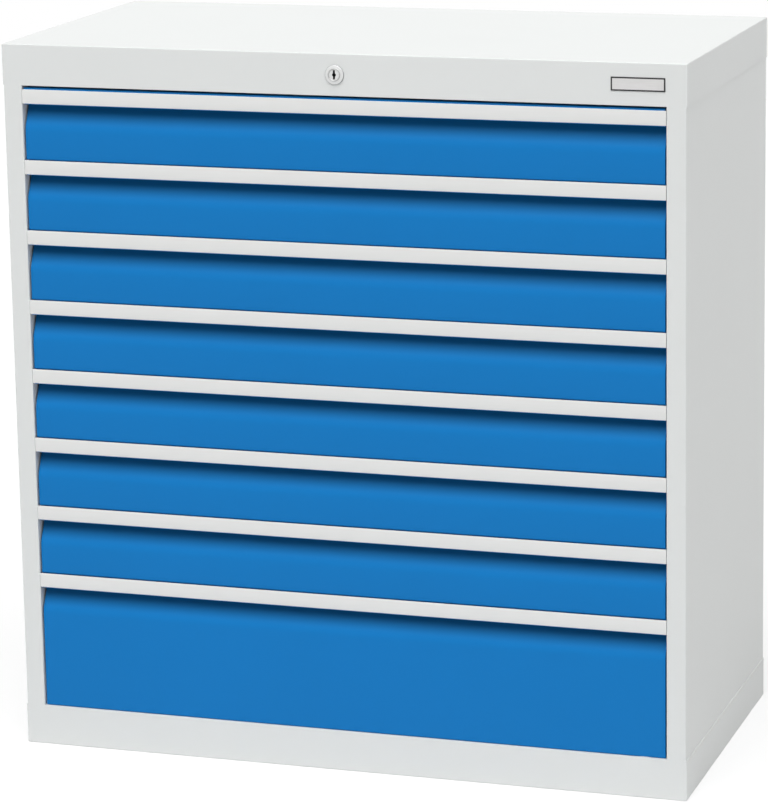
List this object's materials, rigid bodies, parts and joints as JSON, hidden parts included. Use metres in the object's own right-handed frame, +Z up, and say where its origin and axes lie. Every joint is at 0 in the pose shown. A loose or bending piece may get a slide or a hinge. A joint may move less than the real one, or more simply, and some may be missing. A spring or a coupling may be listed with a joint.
{
  "type": "drawer cabinet",
  "caption": "Free-standing steel drawer cabinet on a plinth: wide shallow drawers over a deep one, full-width grip strips with finger recesses, central lock and bare nameplate.",
  "frame": {"origin": "on the floor, at the centre of the plinth's footprint", "axes": "+X to the right seen from the front, +Y rearwards so the drawers open towards -Y, +Z up"},
  "size_m": [0.98, 0.4942, 1.019],
  "materials": {
    "housing_paint": "fine powder coat, satin, light grey",
    "front_paint": "fine powder coat, satin, blue",
    "tray_paint": "smooth powder coat, satin, light grey",
    "grip_plastic": "satin moulded plastic, light grey",
    "zinc_steel": "zinc plated, satin",
    "lock_metal": "satin nickel",
    "plate_aluminium": "brushed, dark border",
    "rivet_steel": "satin"
  },
  "bodies": {
    "housing": {"top_cover": "housing_paint", "side_panel_left": "housing_paint", "side_panel_right": "housing_paint", "back_panel": "housing_paint", "base_plinth": "housing_paint", "back_panel_rivets": "rivet_steel", "nameplate": "plate_aluminium", "uprights_left": "zinc_steel", "uprights_right": "zinc_steel", "cabinet_runners_left": "zinc_steel", "cabinet_runners_right": "zinc_steel", "lock_housing": "lock_metal", "lock_nut": "zinc_steel", "crank_pivot": "zinc_steel"},
    "key_plug": {"lock_plug": "lock_metal", "lock_cam": "zinc_steel"},
    "slider": {"lock_link": "zinc_steel"},
    "bell_crank": {"lock_crank": "zinc_steel"},
    "hook_bar": {"lock_bar": "zinc_steel", "lock_hooks": "zinc_steel"},
    "drawer_1": {"drawer_tray_1": "tray_paint", "drawer_front_1": "front_paint", "grip_strip_1": "grip_plastic", "drawer_runners_1": "zinc_steel"},
    "carriage_1": {"runner_carriages_1": "zinc_steel"},
    "drawer_2": {"drawer_tray_2": "tray_paint", "drawer_front_2": "front_paint", "grip_strip_2": "grip_plastic", "drawer_runners_2": "zinc_steel"},
    "carriage_2": {"runner_carriages_2": "zinc_steel"},
    "drawer_3": {"drawer_tray_3": "tray_paint", "drawer_front_3": "front_paint", "grip_strip_3": "grip_plastic", "drawer_runners_3": "zinc_steel"},
    "carriage_3": {"runner_carriages_3": "zinc_steel"},
    "drawer_4": {"drawer_tray_4": "tray_paint", "drawer_front_4": "front_paint", "grip_strip_4": "grip_plastic", "drawer_runners_4": "zinc_steel"},
    "carriage_4": {"runner_carriages_4": "zinc_steel"},
    "drawer_5": {"drawer_tray_5": "tray_paint", "drawer_front_5": "front_paint", "grip_strip_5": "grip_plastic", "drawer_runners_5": "zinc_steel"},
    "carriage_5": {"runner_carriages_5": "zinc_steel"},
    "drawer_6": {"drawer_tray_6": "tray_paint", "drawer_front_6": "front_paint", "grip_strip_6": "grip_plastic", "drawer_runners_6": "zinc_steel"},
    "carriage_6": {"runner_carriages_6": "zinc_steel"},
    "drawer_7": {"drawer_tray_7": "tray_paint", "drawer_front_7": "front_paint", "grip_strip_7": "grip_plastic", "drawer_runners_7": "zinc_steel"},
    "carriage_7": {"runner_carriages_7": "zinc_steel"},
    "drawer_8": {"drawer_tray_8": "tray_paint", "drawer_front_8": "front_paint", "grip_strip_8": "grip_plastic", "drawer_runners_8": "zinc_steel"},
    "carriage_8": {"runner_carriages_8": "zinc_steel"}
  },
  "joints": [
    {"name": "drawer_1_slide", "type": "slide", "parent": "housing", "child": "drawer_1", "axis": [0, -1, 0], "range_m": [0, 0.42]},
    {"name": "carriage_1_slide", "type": "slide", "parent": "housing", "child": "carriage_1", "axis": [0, -1, 0], "range_m": [0, 0.21]},
    {"name": "drawer_2_slide", "type": "slide", "parent": "housing", "child": "drawer_2", "axis": [0, -1, 0], "range_m": [0, 0.42]},
    {"name": "carriage_2_slide", "type": "slide", "parent": "housing", "child": "carriage_2", "axis": [0, -1, 0], "range_m": [0, 0.21]},
    {"name": "drawer_3_slide", "type": "slide", "parent": "housing", "child": "drawer_3", "axis": [0, -1, 0], "range_m": [0, 0.42]},
    {"name": "carriage_3_slide", "type": "slide", "parent": "housing", "child": "carriage_3", "axis": [0, -1, 0], "range_m": [0, 0.21]},
    {"name": "drawer_4_slide", "type": "slide", "parent": "housing", "child": "drawer_4", "axis": [0, -1, 0], "range_m": [0, 0.42]},
    {"name": "carriage_4_slide", "type": "slide", "parent": "housing", "child": "carriage_4", "axis": [0, -1, 0], "range_m": [0, 0.21]},
    {"name": "drawer_5_slide", "type": "slide", "parent": "housing", "child": "drawer_5", "axis": [0, -1, 0], "range_m": [0, 0.42]},
    {"name": "carriage_5_slide", "type": "slide", "parent": "housing", "child": "carriage_5", "axis": [0, -1, 0], "range_m": [0, 0.21]},
    {"name": "drawer_6_slide", "type": "slide", "parent": "housing", "child": "drawer_6", "axis": [0, -1, 0], "range_m": [0, 0.42]},
    {"name": "carriage_6_slide", "type": "slide", "parent": "housing", "child": "carriage_6", "axis": [0, -1, 0], "range_m": [0, 0.21]},
    {"name": "drawer_7_slide", "type": "slide", "parent": "housing", "child": "drawer_7", "axis": [0, -1, 0], "range_m": [0, 0.42]},
    {"name": "carriage_7_slide", "type": "slide", "parent": "housing", "child": "carriage_7", "axis": [0, -1, 0], "range_m": [0, 0.21]},
    {"name": "drawer_8_slide", "type": "slide", "parent": "housing", "child": "drawer_8", "axis": [0, -1, 0], "range_m": [0, 0.42]},
    {"name": "carriage_8_slide", "type": "slide", "parent": "housing", "child": "carriage_8", "axis": [0, -1, 0], "range_m": [0, 0.21]},
    {"name": "bar_lift", "type": "slide", "parent": "housing", "child": "hook_bar", "axis": [0, 0, 1], "range_m": [0, 0.019]},
    {"name": "key_turn", "type": "hinge", "parent": "housing", "child": "key_plug", "pos_m": [0, -0.2455, 0.99], "axis": [0, 1, 0], "range_deg": [0, 90]},
    {"name": "link_slide", "type": "slide", "parent": "housing", "child": "slider", "axis": [-1, 0, 0], "range_m": [0, 0.0198]},
    {"name": "crank_turn", "type": "hinge", "parent": "housing", "child": "bell_crank", "pos_m": [-0.452, -0.22, 1], "axis": [0, 1, 0], "range_deg": [0, 48.8]}
  ],
  "couplings": [
    {"joint": "carriage_1_slide", "follows": "drawer_1_slide", "ratio": 0.5},
    {"joint": "carriage_2_slide", "follows": "drawer_2_slide", "ratio": 0.5},
    {"joint": "carriage_3_slide", "follows": "drawer_3_slide", "ratio": 0.5},
    {"joint": "carriage_4_slide", "follows": "drawer_4_slide", "ratio": 0.5},
    {"joint": "carriage_5_slide", "follows": "drawer_5_slide", "ratio": 0.5},
    {"joint": "carriage_6_slide", "follows": "drawer_6_slide", "ratio": 0.5},
    {"joint": "carriage_7_slide", "follows": "drawer_7_slide", "ratio": 0.5},
    {"joint": "carriage_8_slide", "follows": "drawer_8_slide", "ratio": 0.5},
    {"joint": "key_turn", "follows": "bar_lift", "rad_per_m": 82.673},
    {"joint": "link_slide", "follows": "bar_lift", "ratio": 1.0421},
    {"joint": "crank_turn", "follows": "bar_lift", "rad_per_m": 44.827}
  ]
}
